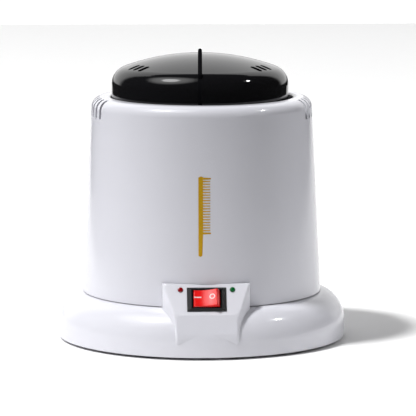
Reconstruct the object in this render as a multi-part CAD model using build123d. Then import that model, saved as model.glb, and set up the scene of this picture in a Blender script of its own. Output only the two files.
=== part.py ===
from build123d import *
import os
from math import cos, hypot, radians, sin, sqrt, tan

# Bead steriliser pot for hand tools. Millimetres, +Z up, origin on the pot's axis at the table,
# the switch pod faces -Y.

# ---- driving dimensions: outside -------------------------------------------------------------
BASE_R = 81.0             # outer radius of the base roll
BASE_Z0 = 1.5             # underside of the base, held up by the feet
ROLL_FLAT_Z = 9.0         # the roll's side is upright up to here
ROLL_TOP_R = 66.0         # radius where the roll has become level
BASE_TOP_Z = 26.5         # top of the roll
WALL = 2.4                # moulding wall
SHELL_Z0 = 26.9           # lower edge of the body shell, a fine gap above the base
SHELL_R0 = 67.3           # shell radius at its lower edge
DECK_Z = 136.3            # top deck of the shell
DECK_CORNER_R = 61.7      # where cone and deck would meet without their rounding
SHOULDER_R = 6.0          # rounding of the shell's shoulder
RECESS_R = 51.3           # recess that the lid drops into
LEDGE_Z = 131.0           # floor of the recess
LEDGE_IN_R = 41.0         # opening in the ledge
TOTAL_H = 162.5           # top of the lid's fin

# ---- lid -------------------------------------------------------------------------------------
LID_TURN = -2.2           # the loose lid sits slightly turned on its seat, degrees
LID_SHIFT = -0.9          # and slightly to the left in its recess
DOME_TOP_Z = 160.4
DOME_R = 125.5            # sphere of the lid's top
LID_EDGE_R = 10.3         # rounding between the top and the side
LID_EDGE_C = 39.4         # radius of that rounding's centre from the axis
LID_WALL_R = 49.7
LID_Z0 = LEDGE_Z + 0.1
FIN_T = 2.2               # fin thickness
FIN_ROUND = 1.0           # rounding of its crest
FIN_REACH = 47.0          # the fin ends this far from the axis
VENT_SPREAD = 59.0        # vent groups lie this far each side of the fin's line, degrees
VENT_R = 39.6
VENT_L = 6.9
VENT_W = 3.5
VENT_PITCH = 5.3

# ---- shoulder slots --------------------------------------------------------------------------
SLOT_W = 2.7
SLOT_ROUND = 0.6          # rounding of a slot's lower corners
SLOT_STEP = 5.7           # degrees from slot to slot
SLOT_COUNT = 9            # on each side of the body
SLOT_IN_R = 57.3
SLOT_Z0 = 125.5

# ---- switch pod ------------------------------------------------------------------------------
POD_TOP = (-66.5, 39.9)   # y, z of the face's top edge
POD_LOW = (-77.5, 24.4)   # y, z of the face's bottom edge
POD_FOOT = (-80.8, 12.5)  # y, z where the front turns back into the roll
POD_TOE = (-79.2, 8.0)    # y, z where it has sunk in
POD_FOOT_ROUND = 8.0
POD_CORNER = 1.6          # rounding of the upright edges
POD_BACK_Y = -57.0
POD_HALF_BACK = 24.6      # half widths in plan, from back to front
POD_HALF_TOP = 23.8
POD_HALF_LOW = 17.7
POD_HALF_FOOT = 16.8
POD_WALL = 2.2
LED_X = 14.2
LED_DOWN = 3.5            # below the face's top edge, along the face
LED_R = 1.5
LED_STAND = 0.8           # the lamps' tips stand this far out of the face

# ---- rocker switch, in its own plane: x across, y up the face, z outward ------------------------
BEZEL = (21.5, 14.4)
BEZEL_TOP = (16.8, 11.6)
BEZEL_RIM = 0.3           # upright edge of the bezel, below its bevel
BEZEL_H = 1.4
CUTOUT = (19.2, 13.2)
HOUSING = (18.8, 12.8)
HOUSING_DEPTH = 14.0
HOUSING_WALL = 1.0
WINDOW = (15.4, 10.4)
ROCKER_R = 7.5            # the rocker's ends are an arc about its pivot
ROCKER_W = 9.9
PIVOT_Z = -1.2
PIVOT_PIN_R = 1.0
ROCKER_LIFT = 3.3         # bottom of the rocker's hollow top above the pivot
HOLLOW_R = 21.3           # radius of that hollow
ROCKER_TILT = 10.5        # degrees each side of the middle
CONTACT_RATIO = 0.6       # contact's tilt over the rocker's
CONTACT_Z = -8.9          # pivot edge of the see-saw contact
GROOVE_R = 0.5            # groove of the contact, round about its pivot
PLUNGER_R = 1.1
TERMINAL_X = (0.0, 6.6)
BLADE_TIP_Z = -22.25

# ---- heating unit ----------------------------------------------------------------------------
SUPPORT_Z = 36.0
SUPPORT_T = 1.2
SUPPORT_R = 57.0
CAN_R = 49.0
CAN_T = 0.8
CAN_TOP_Z = 126.6
FLOOR_HOLE_R = 17.0
WELL_R = 30.0
POT_T = 2.0
POT_Z0 = 45.0
WELL_Z0 = 48.0
FLANGE_T = 1.4
GASKET_T = 0.6
COLLAR_IN_R = 39.2
COLLAR_R = 46.2
COLLAR_T = 1.2
RING_SCREW_R = 43.5       # four screws tie collar, ledge, gasket and pot flange together
HEATER_Z = (54.0, 94.0)
HEATER_R = (32.1, 35.0)
SLEEVE_R = (37.0, 47.6)
SLEEVE_Z = (40.0, 123.5)

# ---- base fittings ---------------------------------------------------------------------------
PLATE_R = 78.2
PLATE_Z = (3.0, 5.0)
FOOT_RING_R = 66.0
FOOT_R = 6.5
BOSS_R = 3.6
PLATE_BOSS_R = 58.0
POST_R = 53.0
SHELL_BOSS_R = 61.6
PILOT_R = 1.3
CLEAR_R = 1.7
SHELF_IN_R = 48.0
GLAND_Z = 13.9
GLAND_Y = 75.0            # bottom of the pocket that the cord gland sits in
GLAND_BORE_R = 3.5
BLOCK_AT = (0.0, 46.0)
PORT_Y = 41.5             # how far the wires reach into the block
PORT_Z = 13.5
LEAD_R = 1.1
LAMP_LEAD_R = 0.7
BOARD_AT = (-36.0, 6.0)

CORNERS = (45, 135, 225, 315)
PLATE_ANGLES = (30, 150, 210, 330)
POST_ANGLES = (90, 210, 330)
SHELL_ANGLES = (60, 120, 240, 300)
LID_PLACE = Pos(LID_SHIFT, 0, 0) * Rot(0, 0, LID_TURN)
BOTTOM = (Align.CENTER, Align.CENTER, Align.MIN)
TOP = (Align.CENTER, Align.CENTER, Align.MAX)


# ---- helpers ---------------------------------------------------------------------------------
def ring(r_out, r_in, z0, z1):
    """Plain ring about Z."""
    body = Cylinder(r_out, z1 - z0, align=BOTTOM) - Cylinder(r_in, z1 - z0, align=BOTTOM)
    return Pos(0, 0, z0) * body


def rod(radius, z0, z1, x=0.0, y=0.0):
    """Upright round rod."""
    return Pos(x, y, z0) * Cylinder(radius, z1 - z0, align=BOTTOM)


def block(x0, x1, y0, y1, z0, z1):
    """Box between two corners."""
    return Pos((x0 + x1) / 2, (y0 + y1) / 2, (z0 + z1) / 2) * Box(x1 - x0, y1 - y0, z1 - z0)


def polar(radius, degrees):
    """X and Y of a point at a radius and an angle."""
    return radius * cos(radians(degrees)), radius * sin(radians(degrees))


def spun(face):
    """Full turn of a section that is drawn in the XZ plane."""
    return revolve(face, Axis.Z)


def section(*points):
    """Closed section in the XZ plane from (radius, height) points."""
    return make_face(Polyline(*[(r, 0, z) for r, z in points], close=True))


def near(shape, r, z):
    """The section's vertex nearest to a radius and a height."""
    return shape.vertices().sort_by_distance((r, 0, z))[0]


def screw(shank_r, length, head_r, head_h):
    """Pan head screw pointing down, its head's underside at z 0."""
    head = Cylinder(head_r, head_h, align=BOTTOM)
    head = fillet(head.edges().group_by(Axis.Z)[-1], head_h * 0.4)
    body = head + Cylinder(shank_r, length, align=TOP)
    blade = Pos(0, 0, head_h * 0.45) * Box(head_r * 1.2, head_r * 0.26, head_h, align=BOTTOM)
    return body - blade - Rot(0, 0, 90) * blade


def around(shape, radius, angles, z, flip=False):
    """Copies of a fastener on a circle, pointing down, or up when flipped."""
    turn = Rot(180, 0, 0) if flip else Rot(0, 0, 0)
    return [Pos(*polar(radius, a), z) * turn * shape for a in angles]


def lead(radius, *points):
    """Round insulated wire: straight runs joined by arcs as large as the runs allow."""
    spots = [Vector(*p) for p in points]
    runs = [after - before for before, after in zip(spots, spots[1:])]
    bends = []
    for one, two in zip(runs, runs[1:]):
        half_turn = radians(one.get_angle(two)) / 2
        bends.append(0.45 * min(one.length, two.length) / tan(half_turn))
    path = FilletPolyline(*spots, radius=bends)
    return sweep(Plane(origin=path @ 0, z_dir=path % 0) * Circle(radius), path=path)


def roll_ellipse(inset):
    """Section of the base roll, moved inward by a wall."""
    top = BASE_TOP_Z - inset
    curve = EllipticalCenterArc((ROLL_TOP_R, ROLL_FLAT_Z), BASE_R - inset - ROLL_TOP_R,
                                top - ROLL_FLAT_Z, start_angle=0, arc_size=90)
    side = Line((BASE_R - inset, BASE_Z0), (BASE_R - inset, ROLL_FLAT_Z))
    rest = Polyline((ROLL_TOP_R, top), (0, top), (0, BASE_Z0), (BASE_R - inset, BASE_Z0))
    return Plane.XZ * make_face(side + curve + rest)


def pod_block(inset):
    """Wedge of the switch pod, with every face moved inward by a wall."""
    slope = hypot(POD_TOP[0] - POD_LOW[0], POD_TOP[1] - POD_LOW[1])
    back = inset * (POD_TOP[1] - POD_LOW[1]) / slope
    down = inset * (POD_TOP[0] - POD_LOW[0]) / slope
    ratio = (POD_TOP[0] - POD_LOW[0]) / (POD_TOP[1] - POD_LOW[1])
    top_z = POD_TOP[1] - inset
    top_y = POD_TOP[0] + back - ratio * (inset - down)
    low_y = POD_LOW[0] + inset
    low_face_z = POD_LOW[1] - down + (inset - back) / ratio
    foot = (0, POD_FOOT[0] + inset, POD_FOOT[1])
    side = make_face(Polyline((0, POD_BACK_Y, top_z), (0, top_y, top_z), (0, low_y, low_face_z), foot,
                              (0, POD_TOE[0] + inset, POD_TOE[1]), (0, POD_BACK_Y, POD_TOE[1]), close=True))
    side = fillet(side.vertices().sort_by_distance(foot)[0], POD_FOOT_ROUND)
    wedge = extrude(side, amount=40, both=True, dir=(1, 0, 0))
    half = [(POD_HALF_BACK - inset, POD_BACK_Y), (POD_HALF_TOP - inset, POD_TOP[0]),
            (POD_HALF_LOW - inset, POD_LOW[0]), (POD_HALF_FOOT - inset, POD_FOOT[0] - 1)]
    plan = half + [(-x, y) for x, y in reversed(half)]
    return wedge & extrude(make_face(Polyline(*plan, close=True)), amount=60)


FACE_LEN = hypot(POD_TOP[0] - POD_LOW[0], POD_TOP[1] - POD_LOW[1])
FACE_N = Vector(0, -(POD_TOP[1] - POD_LOW[1]) / FACE_LEN, (POD_TOP[0] - POD_LOW[0]) / FACE_LEN)
FACE_MID = ((POD_TOP[0] + POD_LOW[0]) / 2, (POD_TOP[1] + POD_LOW[1]) / 2)
FACE = Plane(origin=(0, *FACE_MID), x_dir=(1, 0, 0), z_dir=FACE_N)


# ---- casings ---------------------------------------------------------------------------------
def base_skirt():
    """Roll-shaped base moulding with the switch pod, shelf, bosses and the gland pocket."""
    shell_room = Pos(0, 0, BASE_TOP_Z + 0.1) * Cone(SHELL_R0 + 0.3, SHELL_R0 - 0.5, 15, align=BOTTOM)
    pod = pod_block(0)
    pod = fillet(pod.edges().filter_by(lambda e: abs(e.tangent_at(0.5).Z) > 0.5), POD_CORNER)
    body = spun(roll_ellipse(0)) + (pod - shell_room)
    for angle in POST_ANGLES:
        body += rod(BOSS_R, BASE_TOP_Z - 1, SUPPORT_Z, *polar(POST_R, angle))
    spigot = ring(64.2, 62.0, BASE_TOP_Z - 0.5, 31.0)
    for angle in SHELL_ANGLES:
        spigot -= rod(BOSS_R + 0.4, BASE_TOP_Z, 32.0, *polar(SHELL_BOSS_R, angle))
    body += spigot - block(-24.5, 24.5, -70, -50, BASE_TOP_Z, 32)
    body -= spun(roll_ellipse(WALL)) - block(-10.9, 10.9, GLAND_Y - WALL, 90, PLATE_Z[1] + 0.2, 22.8)
    body -= rod(SHELF_IN_R, 10, 30)
    body -= pod_block(POD_WALL) - rod(90, 0, 9.0)
    body -= block(-19, 19, -62, -40, 20, 30)
    for angle in PLATE_ANGLES:
        x, y = polar(PLATE_BOSS_R, angle)
        body += rod(BOSS_R, PLATE_Z[1], BASE_TOP_Z - 1, x, y)
        body -= rod(PILOT_R, PLATE_Z[1], 19, x, y)
    for angle in POST_ANGLES:
        body -= rod(PILOT_R, SUPPORT_Z - 9, SUPPORT_Z, *polar(POST_R, angle))
    for angle in SHELL_ANGLES:
        body -= rod(CLEAR_R, 20, 30, *polar(SHELL_BOSS_R, angle))
    body -= block(-8.5, 8.5, GLAND_Y, 90, GLAND_Z - 6.5, GLAND_Z + 6.5)
    body -= Pos(0, GLAND_Y, GLAND_Z) * Rot(90, 0, 0) * Cylinder(5.05, 12)
    body -= FACE * Box(*CUTOUT, 8)
    for x in (-LED_X, LED_X):
        body -= FACE * Pos(x, FACE_LEN / 2 - LED_DOWN, 0) * Cylinder(LED_R + 0.05, 8)
    return body


def body_shell():
    """Tapered body with its rounded shoulder, lid recess, shoulder slots and screw bosses."""
    lean = (SHELL_R0 - DECK_CORNER_R) / (DECK_Z - SHELL_Z0)
    inner_top = DECK_Z - WALL
    inner_r = DECK_CORNER_R - WALL + lean * WALL
    cut = section((SHELL_R0, SHELL_Z0), (DECK_CORNER_R, DECK_Z), (RECESS_R, DECK_Z), (RECESS_R, LEDGE_Z),
                  (LEDGE_IN_R, LEDGE_Z), (LEDGE_IN_R, LEDGE_Z - WALL), (RECESS_R + WALL, LEDGE_Z - WALL),
                  (RECESS_R + WALL, inner_top), (inner_r, inner_top), (SHELL_R0 - WALL, SHELL_Z0))
    cut = fillet(near(cut, DECK_CORNER_R, DECK_Z), SHOULDER_R)
    cut = fillet(near(cut, inner_r, inner_top), SHOULDER_R - WALL)
    cut = fillet(near(cut, RECESS_R, DECK_Z), 0.9)
    body = spun(cut)
    for angle in SHELL_ANGLES:
        x, y = polar(SHELL_BOSS_R, angle)
        body += rod(BOSS_R - 0.2, SHELL_Z0, 44, x, y)
        body -= rod(PILOT_R, SHELL_Z0, 41, x, y)
    body -= block(-22.5, 22.5, -75, -55, 20, 37.3)
    for angle in CORNERS:
        body -= rod(CLEAR_R, LEDGE_Z - 4, LEDGE_Z + 1, *polar(RING_SCREW_R, angle))
    slot = block(SLOT_IN_R, 70, -SLOT_W / 2, SLOT_W / 2, SLOT_Z0, DECK_Z + 2)
    slot = fillet(slot.edges().filter_by(Axis.X).group_by(Axis.Z)[0], SLOT_ROUND)
    for side in (0, 180):
        for i in range(SLOT_COUNT):
            body -= Rot(0, 0, side + (i - SLOT_COUNT // 2) * SLOT_STEP) * slot
    return body


def bottom_plate():
    """Vented floor of the base, with stand-offs for the block and the board."""
    body = rod(PLATE_R, *PLATE_Z)
    for angle in PLATE_ANGLES:
        body -= rod(CLEAR_R, 0, 8, *polar(PLATE_BOSS_R, angle))
    for angle in CORNERS:
        body -= rod(2.55, 0, 8, *polar(FOOT_RING_R, angle))
    vent = block(20, 32, -1.2, 1.2, 0, 8)
    for i in range(16):
        body -= Rot(0, 0, i * 22.5) * vent
    for x, y in block_holes() + board_holes():
        body += rod(2.8, PLATE_Z[1], PLATE_Z[1] + 3, x, y)
        body -= rod(1.05, PLATE_Z[1] - 1, PLATE_Z[1] + 3, x, y)
    return body


def rubber_feet():
    """Four push-in feet: pad, neck through the floor and a barb above it."""
    pad = fillet(Cylinder(FOOT_R, PLATE_Z[0], align=BOTTOM).edges().group_by(Axis.Z)[0], 0.8)
    foot = pad + rod(2.5, PLATE_Z[0], PLATE_Z[1])
    foot += Pos(0, 0, PLATE_Z[1]) * Cone(3.3, 1.6, 2.2, align=BOTTOM)
    return [Pos(*polar(FOOT_RING_R, a), 0) * foot for a in CORNERS]


# ---- heating unit ----------------------------------------------------------------------------
def support_plate():
    """Steel disc on the base's three posts; it carries the can."""
    body = ring(SUPPORT_R, FLOOR_HOLE_R, SUPPORT_Z, SUPPORT_Z + SUPPORT_T)
    for angle in POST_ANGLES:
        body -= rod(CLEAR_R, 30, 45, *polar(POST_R, angle))
    for x in (-1, 1):
        body -= rod(3.4, 30, 45, *heater_stub(x))
    body -= rod(PILOT_R, 30, 45, *polar(POST_R, 0))
    return body


def heat_can():
    """Thin steel can round the insulation, open at the top."""
    z0 = SUPPORT_Z + SUPPORT_T
    body = rod(CAN_R, z0, CAN_TOP_Z) - rod(CAN_R - CAN_T, z0 + CAN_T, CAN_TOP_Z + 1)
    body -= rod(FLOOR_HOLE_R, 30, 45)
    for x in (-1, 1):
        body -= rod(3.4, 30, 45, *heater_stub(x))
    return body


def inner_pot():
    """Aluminium bead well: straight cup with a thick floor and a rounded rim."""
    rim_z = CAN_TOP_Z + FLANGE_T
    cut = section((0, POT_Z0), (WELL_R + POT_T, POT_Z0), (WELL_R + POT_T, rim_z), (WELL_R, rim_z),
                  (WELL_R, WELL_Z0), (0, WELL_Z0))
    cut = fillet(near(cut, WELL_R, WELL_Z0), 4.0)
    cut = fillet(near(cut, WELL_R, rim_z), 1.2)
    body = spun(cut)
    for x, y in ((-12, 0), (12, 0), (9, -20)):
        body -= rod(PILOT_R, POT_Z0, POT_Z0 + 2.2, x, y)
    return body


def pot_flange():
    """Flat aluminium ring that is crimped round the cup's rim and carries it."""
    body = ring(CAN_R, WELL_R + POT_T + 0.05, CAN_TOP_Z, CAN_TOP_Z + FLANGE_T)
    for angle in CORNERS:
        body -= rod(CLEAR_R, 120, 130, *polar(RING_SCREW_R, angle))
    return body


def flange_gasket():
    """Heat-proof ring between the pot's flange and the shell's ledge."""
    z0 = CAN_TOP_Z + FLANGE_T
    body = ring(47.5, 41.5, z0, z0 + GASKET_T)
    for angle in CORNERS:
        body -= rod(CLEAR_R, 120, 130, *polar(RING_SCREW_R, angle))
    return body


def well_collar():
    """Spun aluminium ring that lines the opening under the lid."""
    z0 = CAN_TOP_Z + FLANGE_T + 0.05
    top = LEDGE_Z + COLLAR_T
    cut = section((COLLAR_IN_R, z0), (LEDGE_IN_R - 0.3, z0), (LEDGE_IN_R - 0.3, LEDGE_Z),
                  (COLLAR_R, LEDGE_Z), (COLLAR_R, top), (COLLAR_IN_R, top))
    cut = fillet(near(cut, COLLAR_IN_R, top), 0.8)
    cut = fillet(near(cut, COLLAR_R, top), 0.5)
    body = spun(cut)
    for angle in CORNERS:
        body -= rod(CLEAR_R, 130, 135, *polar(RING_SCREW_R, angle))
    return body


def collar_nuts():
    """Hexagon nuts under the pot's flange."""
    nut = extrude(RegularPolygon(2.75, 6, major_radius=False), amount=2.4)
    nut -= Cylinder(1.55, 2.4, align=BOTTOM)
    return [Pos(*polar(RING_SCREW_R, a), CAN_TOP_Z - 2.4) * nut for a in CORNERS]


def heater_stub(side):
    """Where a heater lead leaves the band, left or right of the split."""
    return 10.0 * side, sqrt((sum(HEATER_R) / 2) ** 2 - 10.0 ** 2)


def band_heater():
    """Mica band heater with its rear split and clamp ears."""
    body = ring(HEATER_R[1], HEATER_R[0], *HEATER_Z) - block(-2.9, 2.9, 20, 50, 40, 110)
    for side in (-1, 1):
        inner = 2.9 * side
        outer = 4.4 * side
        ear = block(min(inner, outer), max(inner, outer), 33.4, 42.5, 64, 84)
        body += ear - Pos(0, 39, 74) * Rot(0, 90, 0) * Cylinder(1.6, 20)
        x, y = heater_stub(side)
        body += rod(1.3, HEATER_Z[0] - 4, HEATER_Z[0] + 1, x, y)
    return body


def heater_clamp_bolt():
    """Bolt and nut that draw the band heater's ears together."""
    bolt = Pos(4.4, 39, 74) * Rot(0, 90, 0) * screw(1.5, 12, 2.7, 1.8)
    nut = extrude(RegularPolygon(2.75, 6, major_radius=False), amount=2.4)
    nut -= Cylinder(1.55, 2.4, align=BOTTOM)
    return [bolt, Pos(-6.8, 39, 74) * Rot(0, 90, 0) * nut]


def insulation_sleeve():
    """Glass wool between the band heater and the can, open at the heater's ears."""
    body = ring(*reversed(SLEEVE_R), *SLEEVE_Z) - block(-10, 10, 20, 60, 30, 130)
    for side in (-1, 1):
        body -= rod(3.0, 30, 60, *heater_stub(side))
    return body


def thermostat_cap():
    """Metal cup of the snap thermostat, with the ears that hold it to the pot's floor."""
    ears = block(-15.5, 15.5, -4, 4, POT_Z0 - 0.8, POT_Z0)
    body = rod(8.0, POT_Z0 - 4, POT_Z0) + ears
    for x in (-12, 12):
        body -= rod(1.45, 40, 46, x, 0)
    return body


def thermostat_body():
    """Moulded body of the thermostat under its cup."""
    body = rod(7.6, POT_Z0 - 13, POT_Z0 - 4)
    for x in (-4.5, 4.5):
        body -= block(x - 0.45, x + 0.45, -3.2, 3.2, POT_Z0 - 14, POT_Z0 - 10)
    return body


def thermostat_terminals():
    """Two push-on blades."""
    return [block(x - 0.4, x + 0.4, -3.15, 3.15, POT_Z0 - 21, POT_Z0 - 10) for x in (-4.5, 4.5)]


def thermal_fuse():
    """One-shot thermal fuse lying under the pot's floor."""
    return Pos(0, -20, POT_Z0 - 2.3) * Rot(0, 90, 0) * Cylinder(1.9, 10)


def fuse_clip():
    """Bent strap over the fuse, screwed to the pot's floor."""
    strap = ring(2.6, 2.0, -2.5, 2.5) - block(-4, 0, -4, 4, -4, 4)
    strap = Pos(0, -20, POT_Z0 - 2.3) * Rot(0, 90, 0) * strap
    tongue = block(-2.5, 6, -17.98, -17.38, POT_Z0 - 2.3, POT_Z0 - 0.1)
    foot = block(5.4, 12, -23, -17.38, POT_Z0 - 0.7, POT_Z0 - 0.1)
    return strap + tongue + foot - rod(1.45, 40, 46, 9, -20)


# ---- base fittings ---------------------------------------------------------------------------
def block_holes():
    """Centres of the terminal block's two fixing screws."""
    return [(BLOCK_AT[0] + x, BLOCK_AT[1]) for x in (-10.0, 10.0)]


def board_holes():
    """Centres of the lamp board's two fixing screws."""
    return [(BOARD_AT[0], BOARD_AT[1] + y) for y in (-12.0, 12.0)]


def terminal_block():
    """Three-way screw terminal block."""
    x0, y0 = BLOCK_AT
    z0 = PLATE_Z[1] + 3
    body = block(x0 - 16, x0 + 16, y0 - 8, y0 + 8, z0, z0 + 4)
    for x in (-10, 0, 10):
        for y in (-4.5, 4.5):
            dome = block(x0 + x - 4, x0 + x + 4, y0 + y - 3, y0 + y + 3, z0 + 3, z0 + 12)
            body += dome - rod(1.9, z0 + 7, z0 + 13, x0 + x, y0 + y)
        body -= Pos(x0 + x, y0, z0 + 5.5) * Rot(90, 0, 0) * Cylinder(1.4, 20)
    for x, y in block_holes():
        body -= rod(1.3, z0 - 1, z0 + 5, x, y)
    return body


def clamp_screws():
    """Six wire screws of the terminal block."""
    z = PLATE_Z[1] + 3 + 9.5
    one = screw(1.0, 2.4, 1.7, 1.2)
    return [Pos(BLOCK_AT[0] + x, BLOCK_AT[1] + y, z) * one for x in (-10, 0, 10) for y in (-4.5, 4.5)]


def led_board():
    """Small board with the lamps' dropper resistors."""
    x0, y0 = BOARD_AT
    z0 = PLATE_Z[1] + 3
    body = block(x0 - 8, x0 + 8, y0 - 16, y0 + 16, z0, z0 + 1.6)
    for x, y in board_holes():
        body -= rod(1.3, z0 - 1, z0 + 3, x, y)
    return body


def board_resistors():
    """Two resistors, a diode and their bent legs."""
    z0 = PLATE_Z[1] + 4.6
    made = []
    for dy, radius in ((-5, 1.6), (0, 1.6), (5, 1.3)):
        barrel = Pos(BOARD_AT[0], BOARD_AT[1] + dy, z0 + 2.2) * Rot(0, 90, 0) * Cylinder(radius, 6.5)
        wire = Pos(BOARD_AT[0], BOARD_AT[1] + dy, z0 + 2.2) * Rot(0, 90, 0) * Cylinder(0.35, 11)
        for side in (-5.2, 5.2):
            wire += rod(0.35, z0, z0 + 2.3, BOARD_AT[0] + side, BOARD_AT[1] + dy)
        made.append(barrel + wire)
    return made


def earth_tag():
    """Ring tag that earths the support plate."""
    x, y = polar(POST_R, 0)
    z0 = SUPPORT_Z - 0.8
    body = rod(3.4, z0, SUPPORT_Z, x, y) + block(x - 12, x, -1.6, 1.6, z0, SUPPORT_Z)
    return body - rod(1.6, z0 - 1, SUPPORT_Z + 1, x, y)


def cord_gland():
    """Flanged bush in the rear wall that the mains cord passes through."""
    flange = Cylinder(6.0, 2.0, align=BOTTOM)
    flange = fillet(flange.edges().group_by(Axis.Z)[-1], 0.7)
    body = flange + Cylinder(5.0, 10.5, align=TOP)
    body -= Cylinder(GLAND_BORE_R, 40)
    return Pos(0, GLAND_Y, GLAND_Z) * Rot(-90, 0, 0) * body


def gland_nut():
    """Plastic nut on the gland's inside."""
    nut = extrude(RegularPolygon(6.6, 6, major_radius=False), amount=3.0)
    nut -= Cylinder(5.05, 3.0, align=BOTTOM)
    return Pos(0, GLAND_Y - WALL, GLAND_Z) * Rot(90, 0, 0) * nut


# ---- switch ----------------------------------------------------------------------------------
def switch_housing():
    """Snap-in case with its bevelled bezel, rocker window and pivot bores."""
    low = Rectangle(*BEZEL)
    high = Rectangle(*BEZEL_TOP)
    bezel = extrude(low, amount=BEZEL_RIM)
    bezel += loft([Pos(0, 0, BEZEL_RIM) * low, Pos(0, 0, BEZEL_H) * high])
    case = Box(*HOUSING, HOUSING_DEPTH, align=TOP)
    inner = (HOUSING[0] - 2 * HOUSING_WALL - 1.2, HOUSING[1] - 2 * HOUSING_WALL)
    body = bezel + case
    body -= Box(*WINDOW, BEZEL_H + 1, align=BOTTOM)
    body -= Box(*inner, HOUSING_DEPTH - 1.4, align=TOP)
    body -= Pos(0, 0, PIVOT_Z) * Rot(90, 0, 0) * Cylinder(PIVOT_PIN_R + 0.05, 12.0)
    for x in TERMINAL_X:
        body -= Pos(x, 0, -HOUSING_DEPTH) * Box(0.9, 4.9, 4)
    return FACE * body


def rocker_tool():
    """Frame of the rocker: its pivot axis, tilted to the pressed ON side."""
    return FACE * Pos(0, 0, PIVOT_Z) * Rot(0, -ROCKER_TILT, 0)


def switch_rocker():
    """Rocker with a hollowed top, arc ends and pivot pins."""
    wide = ROCKER_R + 1
    rise = ROCKER_LIFT + HOLLOW_R - sqrt(HOLLOW_R ** 2 - wide ** 2)
    top = ThreePointArc((-wide, rise), (0, ROCKER_LIFT), (wide, rise))
    under = Polyline((wide, rise), (wide, -0.4), (3.0, -2.6), (-3.0, -2.6), (-wide, -0.4), (-wide, rise))
    half = ROCKER_W / 2
    body = extrude(Plane.XZ * make_face(top + under), amount=half, both=True)
    body &= Rot(90, 0, 0) * Cylinder(ROCKER_R, ROCKER_W)
    body = fillet(body.edges().filter_by(lambda e: e.center().Z > 2), 0.45)
    body += Rot(90, 0, 0) * Cylinder(PIVOT_PIN_R, ROCKER_W + 1.8)
    body -= Pos(0, 0, -2.6) * Cylinder(PLUNGER_R + 0.06, 4.2)
    return rocker_tool() * body


def rocker_plunger():
    """Sliding pin that the spring holds against the see-saw contact."""
    tip = CONTACT_Z - PIVOT_Z + 1.5
    pin = Pos(0, 0, tip) * Cylinder(PLUNGER_R, -1.9 - tip, align=BOTTOM)
    pin = fillet(pin.edges().group_by(Axis.Z)[0], 0.8)
    return rocker_tool() * pin


def rocker_spring():
    """Small coil spring behind the plunger."""
    coil = Helix(pitch=0.42, height=0.9, radius=0.7)
    wire = Plane(origin=coil @ 0, z_dir=coil % 0) * Circle(0.13)
    return rocker_tool() * Pos(0, 0, -1.7) * sweep(wire, path=coil, is_frenet=True)


def switch_contact():
    """See-saw contact bridge on the middle terminal, its right end down at ON."""
    bar = Box(13.6, 4.4, 0.6, align=BOTTOM) - Rot(90, 0, 0) * Cylinder(GROOVE_R, 5)
    bar += Pos(6.2, 0, 0) * Cylinder(0.9, 0.5, align=TOP)
    return FACE * Pos(0, 0, CONTACT_Z) * Rot(0, ROCKER_TILT * CONTACT_RATIO, 0) * bar


def switch_terminals():
    """Middle and right push-on blades."""
    made = []
    for x, top in zip(TERMINAL_X, (CONTACT_Z + 0.1, CONTACT_Z - 1.65)):
        blade = Box(0.8, 4.7, top - BLADE_TIP_Z, align=TOP)
        blade = fillet(blade.edges().filter_by(Axis.Y).group_by(Axis.Z)[-1], 0.35)
        made.append(FACE * Pos(x, 0, top) * blade)
    return made


def led(x):
    """Three millimetre lamp: flange behind the wall, body through it and a low rounded tip."""
    base_z = -POD_WALL - 1.02
    body = Cylinder(LED_R, LED_STAND - base_z, align=BOTTOM)
    body = fillet(body.edges().group_by(Axis.Z)[-1], LED_STAND)
    body += Cylinder(1.95, 1.0, align=BOTTOM)
    return FACE * Pos(x, FACE_LEN / 2 - LED_DOWN, base_z) * body


# ---- lid -------------------------------------------------------------------------------------
def lid_section(grow, z0):
    """Half section of the lid's solid form, its surface moved outward by grow."""
    centre_z = DOME_TOP_Z - DOME_R
    edge_z = centre_z + sqrt((DOME_R - LID_EDGE_R) ** 2 - LID_EDGE_C ** 2)
    reach = (DOME_R + grow) / (DOME_R - LID_EDGE_R)
    join = (LID_EDGE_C * reach, centre_z + (edge_z - centre_z) * reach)
    half = sqrt((join[0] / 2) ** 2 + ((DOME_TOP_Z + grow - centre_z + join[1] - centre_z) / 2) ** 2)
    mid = ((join[0] / 2) * (DOME_R + grow) / half,
           centre_z + ((DOME_TOP_Z + grow + join[1]) / 2 - centre_z) * (DOME_R + grow) / half)
    radius = LID_EDGE_R + grow
    lean = sqrt(0.5)
    edge_mid = (LID_EDGE_C + radius * lean, edge_z + radius * lean)
    top = ThreePointArc((0, DOME_TOP_Z + grow), mid, join)
    edge = ThreePointArc(join, edge_mid, (LID_EDGE_C + radius, edge_z))
    rest = Polyline((LID_EDGE_C + radius, edge_z), (LID_WALL_R + grow, z0), (0, z0),
                    (0, DOME_TOP_Z + grow))
    return Plane.XZ * make_face(top + edge + rest)


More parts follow.
